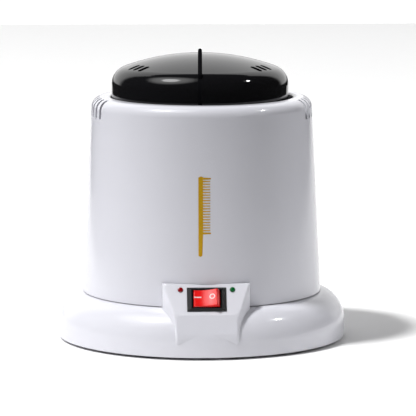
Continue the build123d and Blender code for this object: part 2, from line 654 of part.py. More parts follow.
def lid_dome():
    """Domed lid with its fin, four vent groups and three inner posts."""
    body = spun(lid_section(0, LID_Z0)) - spun(lid_section(-WALL, LID_Z0 - 1))
    fin = block(-FIN_T / 2, FIN_T / 2, -FIN_REACH, FIN_REACH, LID_Z0 + 10, TOTAL_H + 5)
    fin &= spun(lid_section(TOTAL_H - DOME_TOP_Z, LID_Z0 + 10))
    fin = fillet(fin.edges().filter_by(lambda e: e.center().Z > LID_Z0 + 14), FIN_ROUND)
    body += fin - spun(lid_section(-WALL / 2, LID_Z0))
    slot = extrude(SlotOverall(VENT_L, VENT_W), amount=40)
    for lean in (VENT_SPREAD, -VENT_SPREAD, 180 + VENT_SPREAD, 180 - VENT_SPREAD):
        for i in (-1, 0, 1):
            body -= Rot(0, 0, lean - 90) * Pos(VENT_R, i * VENT_PITCH, LID_Z0 + 5) * slot
    posts = spun(lid_section(-WALL / 2, 147.2))
    for angle in (0, 120, 240):
        body += rod(3.0, 147.2, 170, *polar(24, angle)) & posts
        body -= rod(1.2, 140, 154, *polar(24, angle))
    return LID_PLACE * body


def lid_heat_shield():
    """Dished aluminium disc under the lid."""
    cut = section((0, 146.0), (31, 146.0), (35, 143.5), (38, 143.5), (38, 144.5), (35.4, 144.5),
                  (31.4, 147.0), (0, 147.0))
    body = spun(cut)
    for angle in (0, 120, 240):
        body -= rod(1.5, 140, 150, *polar(24, angle))
    return LID_PLACE * body


# ---- wiring ----------------------------------------------------------------------------------
def switch_leads():
    """From the switch's blades to the terminal block and to the thermostat."""
    tip = FACE.from_local_coords(Vector(0, 0, BLADE_TIP_Z))
    back = FACE.from_local_coords(Vector(0, 0, BLADE_TIP_Z - 8))
    x = TERMINAL_X[1]
    to_block = lead(LEAD_R, (x, tip.Y, tip.Z), (x, back.Y, back.Z), (12, -30, 11.5), (16, -6, 11),
                    (15.5, 16, 12), (10, 30, PORT_Z), (10, PORT_Y, PORT_Z))
    to_thermostat = lead(LEAD_R, (0, tip.Y, tip.Z), (0, back.Y, back.Z), (-3, -26, 11),
                         (-4.5, -9, 12), (-4.5, 0.1, 16.5), (-4.5, 0, POT_Z0 - 21))
    return [to_block, to_thermostat]


def heater_leads():
    """From the band heater down to the terminal block and to the thermostat."""
    x, y = heater_stub(1)
    top = HEATER_Z[0] - 4
    to_thermostat = lead(LEAD_R, (x, y, top), (x, y, 20), (6.5, 12, 12.5), (4.5, 0.1, 14),
                         (4.5, 0, POT_Z0 - 21))
    x, y = heater_stub(-1)
    to_block = lead(LEAD_R, (x, y, top), (x, y, PORT_Z), (-10, PORT_Y, PORT_Z))
    return [to_thermostat, to_block]


def lamp_leads():
    """Twin leads from the two lamps to their board."""
    up = FACE_LEN / 2 - LED_DOWN
    tip = FACE.from_local_coords(Vector(0, up, -POD_WALL - 1.02))
    back = FACE.from_local_coords(Vector(0, up, -POD_WALL - 8))
    z = PLATE_Z[1] + 4.6 + LAMP_LEAD_R
    red = lead(LAMP_LEAD_R, (-LED_X, tip.Y, tip.Z), (-LED_X, back.Y, back.Z), (-17, -44, 26),
               (-25, -33, 15), (-35, -20, z + 1), (-40.5, -8, z))
    green = lead(LAMP_LEAD_R, (LED_X, tip.Y, tip.Z), (LED_X, back.Y, back.Z), (10, -43, 27),
                 (-6, -33, 22), (-22, -24, 16), (-32.5, -14, z + 0.5), (-32, -8, z))
    return [red, green]


def earth_lead():
    """From the support plate's ring tag to the terminal block."""
    x = POST_R - 12
    z = SUPPORT_Z - 0.8 - LEAD_R
    return lead(LEAD_R, (x + 5, 0, z), (x - 5, 0.5, z - 0.3), (30, 15, 27), (22, 31, 20.5), (12, 28.5, 17),
                (3, 26.5, 14.8), (0, 32, PORT_Z + 0.1), (0, PORT_Y, PORT_Z))


PARTS = {
    "base_skirt": base_skirt,
    "body_shell": body_shell,
    "bottom_plate": bottom_plate,
    "rubber_feet": rubber_feet,
    "plate_screws": lambda: around(screw(1.25, 14, 2.8, 1.7), PLATE_BOSS_R, PLATE_ANGLES, PLATE_Z[0], True),
    "shell_screws": lambda: around(screw(1.25, 13, 2.8, 1.8), SHELL_BOSS_R, SHELL_ANGLES,
                                   BASE_TOP_Z - WALL, True),
    "support_plate": support_plate,
    "support_screws": lambda: around(screw(1.25, 9, 2.6, 1.7), POST_R, POST_ANGLES, SUPPORT_Z + SUPPORT_T),
    "heat_can": heat_can,
    "inner_pot": inner_pot,
    "pot_flange": pot_flange,
    "flange_gasket": flange_gasket,
    "well_collar": well_collar,
    "collar_screws": lambda: around(screw(1.5, 8.6, 2.4, 1.4), RING_SCREW_R, CORNERS, LEDGE_Z + COLLAR_T),
    "collar_nuts": collar_nuts,
    "band_heater": band_heater,
    "heater_clamp_bolt": heater_clamp_bolt,
    "insulation_sleeve": insulation_sleeve,
    "thermostat_cap": thermostat_cap,
    "thermostat_body": thermostat_body,
    "thermostat_terminals": thermostat_terminals,
    "thermostat_screws": lambda: [Pos(x, 0, POT_Z0 - 0.8) * Rot(180, 0, 0) * screw(1.25, 2.8, 2.3, 1.4)
                                  for x in (-12, 12)],
    "thermal_fuse": thermal_fuse,
    "fuse_clip": fuse_clip,
    "fuse_clip_screw": lambda: Pos(9, -20, POT_Z0 - 0.7) * Rot(180, 0, 0) * screw(1.25, 2.6, 2.3, 1.4),
    "switch_housing": switch_housing,
    "switch_rocker": switch_rocker,
    "rocker_plunger": rocker_plunger,
    "rocker_spring": rocker_spring,
    "switch_contact": switch_contact,
    "switch_terminals": switch_terminals,
    "red_led": lambda: led(-LED_X),
    "green_led": lambda: led(LED_X),
    "led_board": led_board,
    "board_resistors": board_resistors,
    "board_screws": lambda: [Pos(x, y, PLATE_Z[1] + 4.6) * screw(1.0, 5, 2.0, 1.3) for x, y in board_holes()],
    "terminal_block": terminal_block,
    "clamp_screws": clamp_screws,
    "earth_tag": earth_tag,
    "earth_screw": lambda: around(screw(1.25, 3.5, 2.4, 1.5), POST_R, (0,), SUPPORT_Z - 0.8, True),
    "cord_gland": cord_gland,
    "gland_nut": gland_nut,
    "switch_leads": switch_leads,
    "heater_leads": heater_leads,
    "lamp_leads": lamp_leads,
    "earth_lead": earth_lead,
    "lid_dome": lid_dome,
    "lid_heat_shield": lid_heat_shield,
    "lid_screws": lambda: [LID_PLACE * s for s in
                           around(screw(1.15, 6, 2.4, 1.4), 24, (0, 120, 240), 146.0, True)],
}

os.makedirs("parts", exist_ok=True)
for name, maker in PARTS.items():
    made = maker()
    solids = made if isinstance(made, list) else [made]
    shape = Compound(children=[s for m in solids for s in m.solids()])
    export_step(shape, f"parts/{name}.step")
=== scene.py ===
import math

import bmesh
import bpy
from mathutils import Matrix, Vector


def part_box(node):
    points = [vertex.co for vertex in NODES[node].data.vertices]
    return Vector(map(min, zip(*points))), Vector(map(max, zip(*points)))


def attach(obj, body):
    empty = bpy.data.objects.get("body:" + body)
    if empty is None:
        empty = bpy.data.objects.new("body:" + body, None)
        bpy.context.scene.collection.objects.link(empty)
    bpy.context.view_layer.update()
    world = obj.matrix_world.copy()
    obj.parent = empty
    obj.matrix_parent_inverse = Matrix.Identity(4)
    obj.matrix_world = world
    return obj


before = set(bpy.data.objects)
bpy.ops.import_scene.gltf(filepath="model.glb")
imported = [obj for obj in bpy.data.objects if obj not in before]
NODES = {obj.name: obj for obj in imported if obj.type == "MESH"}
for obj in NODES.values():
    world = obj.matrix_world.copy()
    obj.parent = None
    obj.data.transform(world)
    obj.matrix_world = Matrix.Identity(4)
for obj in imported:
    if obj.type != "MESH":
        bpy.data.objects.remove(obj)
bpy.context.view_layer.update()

# Looks of the bead steriliser pot. Metres, +Z up, the switch pod faces -Y.
MM = 0.001

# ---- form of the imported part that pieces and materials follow, in millimetres ---------------------
SHELL_FOOT = (67.3, 26.9)         # radius and height of the tapered body's lower edge
SHELL_TOP = (61.7, 136.3)         # the same where cone and deck would meet
POD_TOP, POD_LOW = (-66.5, 39.9), (-77.5, 24.4)
FACE_UP = Vector((0, POD_TOP[0] - POD_LOW[0], POD_TOP[1] - POD_LOW[1])).normalized()
FACE_OUT = Vector((0, -FACE_UP.z, FACE_UP.y))
FACE_MID = Vector((0, POD_TOP[0] + POD_LOW[0], POD_TOP[1] + POD_LOW[1])) / 2
PIVOT_DEPTH, ROCKER_TILT = 1.2, 10.5   # pivot below the pod's face; the rocker's tilt at rest, degrees
LID_TURN, LID_SHIFT = -2.2, -0.9       # how the lid sits: degrees, and millimetres along X
FIN_HALF = 1.15                        # half the fin's thickness
ROCKER_LIFT, HOLLOW_R = 3.3, 21.3      # the rocker's hollow top: height above the pivot, radius


# ---- node materials ------------------------------------------------------------------------------
class Shader:
    """One node material, built up from short calls."""

    def __init__(self, name, **values):
        self.mat = bpy.data.materials.new(name)
        self.mat.use_nodes = True
        self.tree = self.mat.node_tree
        self.bsdf = self.tree.nodes["Principled BSDF"]
        self.place = self.node("TexCoord").outputs["Object"]
        self.normal = None
        self.set(**values)

    def put(self, socket, value):
        if isinstance(value, bpy.types.NodeSocket):
            self.tree.links.new(value, socket)
        elif hasattr(socket.default_value, "__len__") and len(socket.default_value) == 4:
            socket.default_value = (*value, 1.0)
        else:
            socket.default_value = value

    def set(self, **values):
        for key, value in values.items():
            self.put(self.bsdf.inputs[key.replace("_", " ")], value)

    def node(self, kind, **settings):
        made = self.tree.nodes.new("ShaderNode" + kind)
        for key, value in settings.items():
            setattr(made, key, value)
        return made

    def math(self, operation, *values):
        made = self.node("Math", operation=operation)
        for socket, value in zip(made.inputs, values):
            self.put(socket, value)
        return made.outputs[0]

    def split(self, vector):
        made = self.node("SeparateXYZ")
        self.put(made.inputs[0], vector)
        return made.outputs

    def stretch(self, scale, turn=(0, 0, 0)):
        made = self.node("Mapping")
        self.put(made.inputs["Vector"], self.place)
        made.inputs["Scale"].default_value = scale
        made.inputs["Rotation"].default_value = turn
        return made.outputs[0]

    def noise(self, scale, detail=3.0, rough=0.5, warp=0.0, where=None):
        made = self.node("TexNoise")
        self.put(made.inputs["Vector"], where or self.place)
        for key, value in (("Scale", scale), ("Detail", detail), ("Roughness", rough), ("Distortion", warp)):
            made.inputs[key].default_value = value
        return made.outputs["Fac"]

    def cells(self, scale, output="Distance", feature="F1", where=None):
        made = self.node("TexVoronoi", feature=feature)
        self.put(made.inputs["Vector"], where or self.place)
        made.inputs["Scale"].default_value = scale
        return made.outputs[output]

    def ramp(self, value, *stops, shape="LINEAR"):
        """Maps a value through (position, grey or colour) stops."""
        made = self.node("ValToRGB")
        made.color_ramp.interpolation = shape
        points = made.color_ramp.elements
        while len(points) < len(stops):
            points.new(0.5)
        for point, (at, colour) in zip(points, stops):
            point.position = at
            point.color = (*colour, 1.0) if isinstance(colour, tuple) else (colour, colour, colour, 1.0)
        self.put(made.inputs[0], value)
        return made.outputs[0]

    def mix(self, share, one, two):
        made = self.node("Mix", data_type="RGBA")
        for key, value in ((0, share), (6, one), (7, two)):
            self.put(made.inputs[key], value)
        return made.outputs[2]

    def blend(self, share, low, high):
        """A number between low and high."""
        made = self.node("MapRange")
        for key, value in (("Value", share), ("To Min", low), ("To Max", high)):
            self.put(made.inputs[key], value)
        return made.outputs[0]

    def bump(self, height, depth_mm, strength=1.0):
        """Adds a relief whose full swing is depth_mm deep."""
        made = self.node("Bump")
        made.inputs["Strength"].default_value = strength
        made.inputs["Distance"].default_value = depth_mm * MM
        self.put(made.inputs["Height"], height)
        if self.normal:
            self.put(made.inputs["Normal"], self.normal)
        self.normal = made.outputs[0]
        self.set(Normal=self.normal)

    def occlusion_shade(self, reach_mm, sharp=(0.35, 0.9)):
        """Painted shade mask from ambient occlusion: 1 in corners and gaps, 0 on open surfaces."""
        made = self.node("AmbientOcclusion", samples=4)
        made.inputs["Distance"].default_value = reach_mm * MM
        return self.ramp(made.outputs["AO"], (sharp[0], 1.0), (sharp[1], 0.0))

    def scratches(self, scale, share, turn, long=30.0):
        """Thin straight scratches in one direction; share is how much of the surface they take."""
        line = self.noise(scale, 2.0, 0.6, where=self.stretch((1.0, long, 1.0), turn))
        return self.ramp(line, (0.5 - share, 0.0), (0.5, 1.0), (0.5 + share, 0.0))


def moulded(name, colour, corner_colour, rough=(0.1, 0.2), peel_mm=0.004, ripple_mm=0.05, corner_share=0.25):
    """Glossy moulded plastic: orange peel, faint sink ripples, hand smudges, hairlines; corners mixed toward
    a corner colour by occlusion, painted shade where that colour is darker.
    """
    s = Shader(name, IOR=1.5)
    drift = s.noise(14.0, 2.0)
    tint = s.mix(s.ramp(drift, (0.3, 0.0), (0.7, 1.0)), colour, tuple(c * 0.975 for c in colour))
    # Corners and gaps mixed toward the given corner colour by occlusion, made patchy by noise: painted shade
    # on the white mouldings, lighter dust on the black nylon.
    corner = s.math("MULTIPLY", s.occlusion_shade(3.0), s.blend(s.noise(120.0, 4.0), 0.2, 1.0))
    s.set(Base_Color=s.mix(s.math("MULTIPLY", corner, corner_share), tint, corner_colour))
    smudge = s.ramp(s.noise(38.0, 5.0, 0.6, 0.6), (0.42, 0.0), (0.66, 1.0))
    fine_hair = s.scratches(160.0, 0.012, (0.2, 0.1, 0.5))
    hair = s.math("MAXIMUM", fine_hair, s.scratches(120.0, 0.01, (0.9, 0.3, 1.9)))
    level = s.blend(smudge, *rough)
    s.set(Roughness=s.math("ADD", level, s.math("MULTIPLY", hair, 0.12)))
    s.bump(s.noise(28.0, 1.0), ripple_mm)
    s.bump(s.noise(620.0, 2.0), peel_mm)
    s.bump(hair, -0.0015)
    return s.mat


def lid_black():
    """Deep black gloss with fine dust, wiping marks and smudges; the fin is duller."""
    s = Shader("lid_black", IOR=1.5)
    dust = s.ramp(s.cells(1500.0), (0.02, 1.0), (0.06, 0.0))
    patch = s.ramp(s.noise(45.0, 3.0), (0.5, 0.0), (0.7, 1.0))
    specks = s.math("MULTIPLY", dust, patch)
    s.set(Base_Color=s.mix(specks, (0.006, 0.006, 0.007), (0.06, 0.06, 0.065)))
    x, y = s.split(s.place)[:2]
    radius = s.math("SQRT", s.math("ADD", s.math("MULTIPLY", x, x), s.math("MULTIPLY", y, y)))
    wiped = s.node("CombineXYZ")
    s.put(wiped.inputs[0], s.math("MULTIPLY", radius, 900.0))
    s.put(wiped.inputs[1], s.math("MULTIPLY", s.math("ARCTAN2", y, x), 1.2))
    swirl = s.ramp(s.noise(1.0, 3.0, 0.6, where=wiped.outputs[0]), (0.47, 0.0), (0.5, 1.0), (0.53, 0.0))
    smudge = s.ramp(s.noise(30.0, 5.0, 0.62, 0.8), (0.45, 0.0), (0.7, 1.0))
    turn = math.radians(LID_TURN)
    across = s.math("ADD", s.math("MULTIPLY", s.math("SUBTRACT", x, LID_SHIFT * MM), math.cos(turn)),
                    s.math("MULTIPLY", y, math.sin(turn)))
    fin = s.math("LESS_THAN", s.math("ABSOLUTE", across), FIN_HALF * MM)
    level = s.math("ADD", s.blend(smudge, 0.045, 0.1), s.math("MULTIPLY", fin, 0.12))
    s.set(Specular_IOR_Level=s.blend(fin, 0.5, 0.0))
    s.set(Roughness=s.math("ADD", level, s.math("MULTIPLY", swirl, 0.05)))
    s.bump(s.noise(30.0, 1.0), 0.03)
    s.bump(s.noise(700.0, 2.0), 0.0018)
    s.bump(swirl, -0.0006)
    return s.mat


def grained(name, colour, rough=0.5, depth_mm=0.03, scale=1500.0, speck=0.85):
    """Spark-eroded or cast grain for floors, phenolic, nylon and rubber."""
    s = Shader(name, IOR=1.48)
    grain = s.noise(scale, 4.0, 0.65)
    cloud = s.noise(scale / 40.0, 3.0)
    base = s.mix(s.ramp(grain, (0.35, 0.0), (0.65, 1.0)), tuple(c * speck for c in colour), colour)
    base = s.mix(s.math("MULTIPLY", cloud, 0.25), base, tuple(c * 0.7 for c in colour))
    # Painted shade: corners and gaps darkened by occlusion toward 45% of the colour.
    s.set(Base_Color=s.mix(s.math("MULTIPLY", s.occlusion_shade(3.0), 0.4), base, tuple(c * 0.45 for c in colour)))
    s.set(Roughness=s.blend(grain, rough - 0.08, rough + 0.1))
    s.bump(grain, depth_mm)
    return s.mat


def plated(name, colour, rough=0.28, tint=(0.55, 0.56, 0.5)):
    """Zinc or tin plating: cloudy tone, turning marks, recesses darkened by occlusion as painted shade."""
    s = Shader(name, Metallic=1.0)
    cloud = s.noise(300.0, 4.0, 0.6)
    base = s.mix(s.ramp(cloud, (0.35, 0.0), (0.7, 1.0)), colour, tint)
    # Painted shade: recesses darkened by occlusion.
    s.set(Base_Color=s.mix(s.math("MULTIPLY", s.occlusion_shade(1.2), 0.6), base, (0.12, 0.11, 0.1)))
    lines = s.noise(900.0, 2.0, 0.6, where=s.stretch((1.0, 1.0, 9.0)))
    s.set(Roughness=s.blend(lines, rough - 0.1, rough + 0.14))
    s.bump(lines, 0.006)
    return s.mat


def galvanised():
    """Sheet steel with zinc spangle, rolled grain and faint heat bloom."""
    s = Shader("galvanised_sheet", Metallic=1.0)
    spangle = s.cells(160.0, "Color")
    shade = s.split(spangle)[0]
    base = s.mix(shade, (0.5, 0.52, 0.54), (0.68, 0.69, 0.7))
    bloom = s.ramp(s.noise(25.0, 3.0), (0.5, 0.0), (0.75, 0.5))
    s.set(Base_Color=s.mix(bloom, base, (0.55, 0.47, 0.36)))
    s.set(Roughness=s.blend(shade, 0.28, 0.5))
    s.bump(s.noise(800.0, 2.0, where=s.stretch((1.0, 14.0, 1.0))), 0.004)
    s.bump(s.cells(160.0), 0.006)
    return s.mat


def spun_aluminium(name, rough=0.26, stain=0.35):
    """Aluminium turned about the pot's axis: concentric lines, radial sheen, faint stains."""
    s = Shader(name, Metallic=1.0, Anisotropic=0.6)
    x, y, z = s.split(s.place)
    radius = s.math("SQRT", s.math("ADD", s.math("MULTIPLY", x, x), s.math("MULTIPLY", y, y)))
    profile = s.math("ADD", radius, s.math("MULTIPLY", z, 0.93))
    track = s.node("CombineXYZ")
    s.put(track.inputs[0], s.math("MULTIPLY", profile, 5200.0))
    s.put(track.inputs[1], s.math("MULTIPLY", s.math("ARCTAN2", y, x), 0.8))
    lines = s.noise(1.0, 3.0, 0.7, where=track.outputs[0])
    cloud = s.ramp(s.noise(70.0, 5.0, 0.6, 0.5), (0.45, 0.0), (0.75, 1.0))
    base = s.mix(lines, (0.66, 0.67, 0.69), (0.82, 0.83, 0.84))
    base = s.mix(s.math("MULTIPLY", cloud, stain), base, (0.5, 0.46, 0.4))
    # Painted shade: corners and gaps darkened by occlusion.
    s.set(Base_Color=s.mix(s.math("MULTIPLY", s.occlusion_shade(2.5), 0.45), base, (0.2, 0.18, 0.15)))
    level = s.blend(lines, rough - 0.08, rough + 0.12)
    s.set(Roughness=s.math("ADD", level, s.math("MULTIPLY", cloud, 0.12)))
    tangent = s.node("Tangent", direction_type="RADIAL", axis="Z")
    s.set(Tangent=tangent.outputs[0])
    s.bump(lines, 0.006)
    return s.mat


def fibrous(name, colour, deep, scale=420.0, depth_mm=0.25, rough=0.9):
    """Felted or woolly fibre: long curled strands over soft lumps."""
    s = Shader(name, IOR=1.4)
    strands = s.noise(scale, 6.0, 0.75, 2.5, where=s.stretch((1.0, 1.0, 3.0)))
    cross = s.noise(scale * 0.8, 6.0, 0.75, 2.5, where=s.stretch((3.0, 1.0, 1.0), (0.4, 0.7, 0.2)))
    fibre = s.math("MAXIMUM", strands, cross)
    lumps = s.noise(scale / 9.0, 3.0)
    base = s.mix(s.ramp(fibre, (0.4, 0.0), (0.72, 1.0)), deep, colour)
    s.set(Base_Color=s.mix(s.math("MULTIPLY", lumps, 0.3), base, deep))
    s.set(Roughness=rough, Sheen_Weight=0.4, Sheen_Roughness=0.5)
    s.bump(lumps, depth_mm * 1.5)
    s.bump(fibre, depth_mm)
    return s.mat


def heater_skin():
    """Band heater's steel skin: brushed round the band and straw to blue where it runs hot."""
    s = Shader("heater_band_skin", Metallic=1.0)
    z = s.split(s.place)[2]
    lines = s.noise(1400.0, 3.0, 0.6, where=s.stretch((0.12, 0.12, 1.0)))
    heat = s.math("ADD", s.math("MULTIPLY", s.math("SUBTRACT", z, 0.054), 25.0),
                  s.math("MULTIPLY", s.noise(40.0, 3.0), 0.5))
    base = s.ramp(heat, (0.1, (0.5, 0.49, 0.47)), (0.5, (0.5, 0.4, 0.26)), (0.85, (0.33, 0.25, 0.3)),
                  (1.0, (0.28, 0.31, 0.42)))
    s.set(Base_Color=s.mix(lines, base, (0.55, 0.54, 0.52)))
    s.set(Roughness=s.blend(lines, 0.25, 0.5))
    s.bump(lines, 0.008)
    return s.mat


def rocker_red():
    """Translucent red rocker with flow marks and a painted glow: a soft pink emitting spot, with no lamp
    modelled inside it.
    """
    s = Shader("rocker_red", IOR=1.53, Coat_Weight=0.4, Coat_Roughness=0.06)
    flow = s.noise(260.0, 3.0, 0.5, 0.8)
    s.set(Base_Color=s.mix(flow, (0.78, 0.008, 0.01), (0.9, 0.02, 0.018)))
    s.set(Subsurface_Weight=0.25, Subsurface_Scale=0.0015, Subsurface_Radius=(1.0, 0.08, 0.06))
    s.set(Roughness=s.blend(s.noise(420.0, 4.0), 0.12, 0.24))
    # Painted glow: pink light emitted from an off-centre spot on the rocker; no lamp is modelled inside it.
    painted_glow_centre = s.node("VectorMath", operation="DISTANCE")
    s.put(painted_glow_centre.inputs[0], s.place)
    painted_glow_centre.inputs[1].default_value = (FACE_MID + FACE_OUT * 2.3 + Vector((2.4, 0, 0))) * MM
    painted_glow = s.ramp(s.math("DIVIDE", painted_glow_centre.outputs["Value"], 6.0 * MM), (0.0, 1.0), (0.45, 0.35), (1.0, 0.0),
                  shape="EASE")
    s.set(Emission_Color=(1.0, 0.2, 0.22), Emission_Strength=s.math("MULTIPLY", painted_glow, 0.35))
    s.bump(s.noise(1400.0, 2.0), 0.004)
    return s.mat


def lamp(name, colour, deep):
    """Tinted epoxy of a lamp, with its darker core and flow."""
    s = Shader(name, IOR=1.5, Transmission_Weight=0.35, Coat_Weight=0.5, Coat_Roughness=0.03)
    swirl = s.noise(900.0, 3.0, 0.5, 1.2)
    s.set(Base_Color=s.mix(swirl, deep, colour))
    s.set(Roughness=s.blend(s.noise(1500.0, 2.0), 0.05, 0.14))
    s.bump(s.noise(1800.0, 2.0), 0.003)
    return s.mat


def circuit_board():
    """Solder mask over copper tracks and glass weave."""
    s = Shader("circuit_board", IOR=1.5)
    track = s.node("TexBrick")
    s.put(track.inputs["Vector"], s.place)
    track.offset = 0.37
    for key, value in (("Scale", 170.0), ("Mortar Size", 0.09), ("Brick Width", 1.7), ("Row Height", 0.4)):
        track.inputs[key].default_value = value
    copper = track.outputs["Fac"]
    weave = s.noise(2200.0, 2.0, where=s.stretch((1.0, 0.25, 1.0)))
    mask = s.mix(weave, (0.012, 0.12, 0.045), (0.018, 0.16, 0.06))
    s.set(Base_Color=s.mix(copper, mask, (0.05, 0.3, 0.1)))
    s.set(Roughness=s.blend(weave, 0.22, 0.4))
    s.bump(copper, 0.03)
    s.bump(weave, 0.004)
    return s.mat


def banded_resistor(middle_x):
    """Lacquered barrels with colour bands; what reaches past a barrel is tinned wire."""
    s = Shader("resistor_bands")
    x = s.split(s.place)[0]
    along = s.math("DIVIDE", s.math("SUBTRACT", x, middle_x - 5.5 * MM), 11.0 * MM)
    tan, wire = (0.62, 0.44, 0.26), (0.7, 0.7, 0.68)
    marks = s.ramp(along, (0.0, wire), (0.205, tan), (0.29, (0.16, 0.05, 0.015)), (0.34, tan),
                   (0.41, (0.02, 0.02, 0.02)), (0.46, tan), (0.53, (0.5, 0.02, 0.01)), (0.58, tan),
                   (0.68, (0.45, 0.3, 0.06)), (0.73, tan), (0.795, wire), shape="CONSTANT")
    lacquer = s.noise(700.0, 3.0)
    s.set(Base_Color=s.mix(s.math("MULTIPLY", lacquer, 0.25), marks, (0.3, 0.22, 0.15)))
    metal = s.ramp(along, (0.0, 1.0), (0.205, 0.0), (0.795, 1.0), shape="CONSTANT")
    s.set(Metallic=metal, Roughness=s.blend(lacquer, 0.22, 0.42))
    s.bump(lacquer, 0.02)
    return s.mat


def sleeved_wire():
    """Silicone over glass braid: soft diamonds, chalky film and scuffs."""
    s = Shader("sleeved_wire", IOR=1.42)
    braid = s.cells(1500.0)
    film = s.noise(220.0, 4.0, 0.6)
    base = s.mix(film, (0.72, 0.69, 0.63), (0.84, 0.82, 0.77))
    # Painted shade: corners and gaps darkened by occlusion.
    s.set(Base_Color=s.mix(s.math("MULTIPLY", s.occlusion_shade(2.0), 0.5), base, (0.3, 0.27, 0.22)))
    s.set(Roughness=s.blend(film, 0.42, 0.62), Sheen_Weight=0.2)
    s.bump(braid, 0.05)
    return s.mat


def ink(name, colour, deep, metal, rough):
    """Screen printed ink: slight mesh pattern and uneven cover."""
    s = Shader(name, IOR=1.5, Metallic=metal)
    cover = s.noise(1300.0, 4.0, 0.7)
    mesh = s.cells(5200.0)
    s.set(Base_Color=s.mix(s.ramp(cover, (0.3, 0.0), (0.7, 1.0)), deep, colour))
    s.set(Roughness=s.blend(cover, rough - 0.08, rough + 0.12))
    s.bump(mesh, 0.004)
    return s.mat


def dress(materials):
    """Gives CAD nodes their materials."""
    for names, material in materials:
        for name in names.split():
            slots = NODES[name].data.materials
            slots.clear()
            slots.append(material)


WHITE = (0.77, 0.77, 0.83)
# Painted shade colour for the white mouldings' corners and gaps, mixed in by occlusion.
CORNER_SHADE = (0.36, 0.34, 0.3)
white_body = moulded("white_abs_body", WHITE, CORNER_SHADE)
white_base = moulded("white_abs_base", WHITE, CORNER_SHADE, ripple_mm=0.04)
black_nylon = moulded("black_nylon", (0.008, 0.008, 0.009), (0.05, 0.047, 0.045), (0.1, 0.18), 0.004, 0.01)
gold_ink = ink("gold_ink", (0.72, 0.42, 0.008), (0.58, 0.32, 0.004), 0.15, 0.36)
black_nylon.node_tree.nodes["Principled BSDF"].inputs["Specular IOR Level"].default_value = 0.22
white_ink = ink("white_ink", (0.9, 0.84, 0.84), (0.75, 0.62, 0.62), 0.0, 0.45)
board_low, board_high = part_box("led_board")
zinc = plated("zinc_plate", (0.66, 0.67, 0.66))
aluminium = spun_aluminium("spun_aluminium")
dress([
    ("body_shell", white_body),
    ("base_skirt", white_base),
    ("lid_dome", lid_black()),
    ("bottom_plate", grained("floor_grain", (0.62, 0.62, 0.65), 0.5, 0.04)),
    ("rubber_feet", grained("foot_rubber", (0.035, 0.035, 0.037), 0.7, 0.05, 1100.0, 0.6)),
    ("plate_screws shell_screws support_screws collar_screws collar_nuts heater_clamp_bolt", zinc),
    ("thermostat_screws fuse_clip_screw board_screws clamp_screws earth_screw lid_screws", zinc),
    ("rocker_spring", plated("spring_wire", (0.6, 0.6, 0.61), 0.22)),
    ("support_plate heat_can fuse_clip", galvanised()),
    ("inner_pot pot_flange", aluminium),
    ("well_collar lid_heat_shield", spun_aluminium("bright_spun_aluminium", 0.2, 0.15)),
    ("flange_gasket", fibrous("gasket_fibre", (0.74, 0.71, 0.62), (0.45, 0.41, 0.33), 900.0, 0.05)),
    ("insulation_sleeve", fibrous("glass_wool", (0.85, 0.82, 0.7), (0.5, 0.45, 0.32))),
    ("band_heater", heater_skin()),
    ("thermostat_body", grained("phenolic", (0.07, 0.045, 0.03), 0.4, 0.02, 1800.0, 0.5)),
    ("thermostat_cap thermal_fuse", plated("bright_case", (0.74, 0.75, 0.76), 0.2, (0.62, 0.62, 0.6))),
    ("thermostat_terminals switch_terminals switch_contact earth_tag",
     plated("tinned_brass", (0.74, 0.66, 0.45), 0.26, (0.6, 0.5, 0.3))),
    ("switch_housing", black_nylon),
    ("switch_rocker", rocker_red()),
    ("rocker_plunger terminal_block", grained("natural_nylon", (0.8, 0.78, 0.72), 0.38, 0.015, 1600.0, 0.94)),
    ("red_led", lamp("lamp_red", (0.45, 0.004, 0.008), (0.3, 0.0, 0.004))),
    ("green_led", lamp("lamp_green", (0.0, 0.22, 0.04), (0.0, 0.12, 0.02))),
    ("led_board", circuit_board()),
    ("board_resistors", banded_resistor((board_low.x + board_high.x) / 2)),
    ("cord_gland gland_nut", grained("gland_nylon", (0.02, 0.02, 0.021), 0.42, 0.02, 1500.0, 0.7)),
    ("switch_leads heater_leads lamp_leads earth_lead", sleeved_wire()),
])


# ---- pieces --------------------------------------------------------------------------------------
def as_object(mesh, name, material, smooth=False):
    """Turns a bmesh into an object with one material."""
    data = bpy.data.meshes.new(name)
    mesh.to_mesh(data)
    mesh.free()
    data.materials.append(material)
    for face in data.polygons:
        face.use_smooth = smooth
    made = bpy.data.objects.new(name, data)
    bpy.context.scene.collection.objects.link(made)
    return made


def print_piece(name, shapes, material, place, step, lift, sink=0.03):
    """Thin ink layer from flat shapes; place() carries a point (u, v, height) in mm to the surface."""
    mesh = bmesh.new()
    for outline, hole, level in shapes:
        low, high = level * lift - sink, level * lift + lift
        if hole:
            rows = list(zip(outline, hole))
            corners = [[mesh.verts.new((*a, high)), mesh.verts.new((*b, high))] for a, b in rows]
            pairs = zip(corners, corners[1:] + corners[:1])
            faces = [mesh.faces.new((p[0], q[0], q[1], p[1])) for p, q in pairs]
        else:
            faces = [mesh.faces.new([mesh.verts.new((*p, high)) for p in outline])]
        skirt = bmesh.ops.extrude_face_region(mesh, geom=faces)["geom"]
        lower = [g for g in skirt if isinstance(g, bmesh.types.BMVert)]
        bmesh.ops.translate(mesh, vec=(0, 0, low - high), verts=lower)
    wide = max(abs(v.co.x) for v in mesh.verts)
    for k in range(int(-wide / step), int(wide / step) + 1):
        bmesh.ops.bisect_plane(mesh, geom=[*mesh.verts, *mesh.edges, *mesh.faces], plane_co=(k * step, 0, 0),
                               plane_no=(1, 0, 0), dist=1e-6)
    for vert in mesh.verts:
        vert.co = place(*vert.co) * MM
    bmesh.ops.triangulate(mesh, faces=mesh.faces[:])
    bmesh.ops.recalc_face_normals(mesh, faces=mesh.faces[:])
    return as_object(mesh, name, material)


